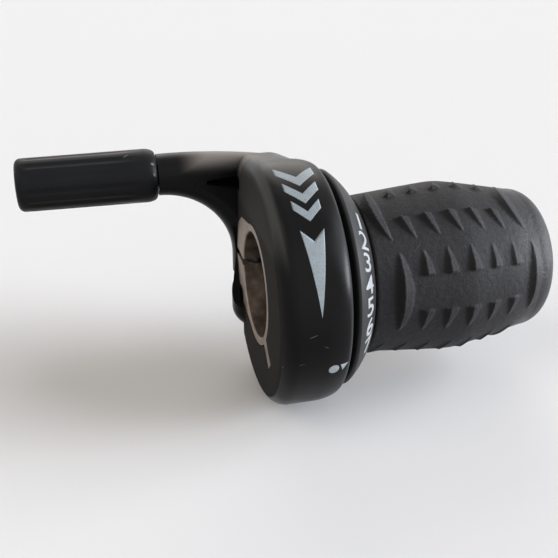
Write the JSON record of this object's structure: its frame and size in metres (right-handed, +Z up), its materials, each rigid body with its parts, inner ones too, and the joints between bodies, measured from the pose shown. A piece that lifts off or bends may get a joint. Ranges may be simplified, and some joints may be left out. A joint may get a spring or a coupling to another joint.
{
  "type": "twist grip shifter",
  "caption": "Handlebar twist shifter: round clamped housing with a cable horn and barrel adjuster, and a ribbed rubber grip on a turning core with gear numbers",
  "frame": {"origin": "on the bar axis, at the inboard mouth of the clamp ring's bore", "axes": "+X along the bar, outboard towards the grip; +Z up; +Y to the back, where the horn and the clamp's split are"},
  "size_m": [0.1074, 0.0516, 0.0508],
  "materials": {
    "housing_plastic": "moulded nylon, dark grey, satin where handled",
    "clamp_metal": "cast alloy, bare, slightly warm",
    "screw_steel": "blackened steel",
    "spring_steel": "bright spring steel",
    "liner_plastic": "natural slippery plastic",
    "core_plastic": "moulded nylon, black, with white gear numbers on the flange",
    "grip_rubber": "soft moulded rubber, dark grey, dull",
    "adjuster_plastic": "moulded plastic, black, satin"
  },
  "bodies": {
    "housing": {"housing": "housing_plastic", "retaining_cover": "housing_plastic", "clamp_ring": "clamp_metal", "clamp_screw": "screw_steel", "cover_screw": "screw_steel", "detent_spring": "spring_steel", "cable_liner": "liner_plastic"},
    "grip": {"grip_core": "core_plastic", "rubber_grip": "grip_rubber"},
    "adjuster_slide": {"adjuster_spring": "spring_steel"},
    "adjuster": {"adjuster_barrel": "adjuster_plastic", "adjuster_stem": "adjuster_plastic"}
  },
  "joints": [
    {"name": "grip_twist", "type": "hinge", "parent": "housing", "child": "grip", "pos_m": [0, 0, 0], "axis": [1, 0, 0], "range_deg": [0, 72], "deforming": ["detent_spring"]},
    {"name": "adjuster_travel", "type": "slide", "parent": "housing", "child": "adjuster_slide", "axis": [-1, 0, 0], "range_m": [0, 0.004], "deforming": ["adjuster_spring"]},
    {"name": "adjuster_turn", "type": "hinge", "parent": "adjuster_slide", "child": "adjuster", "pos_m": [0, 0.0205, 0.0185], "axis": [-1, 0, 0], "range_deg": [0, 1800]}
  ],
  "couplings": [
    {"joint": "adjuster_turn", "follows": "adjuster_travel", "rad_per_m": 7854}
  ]
}
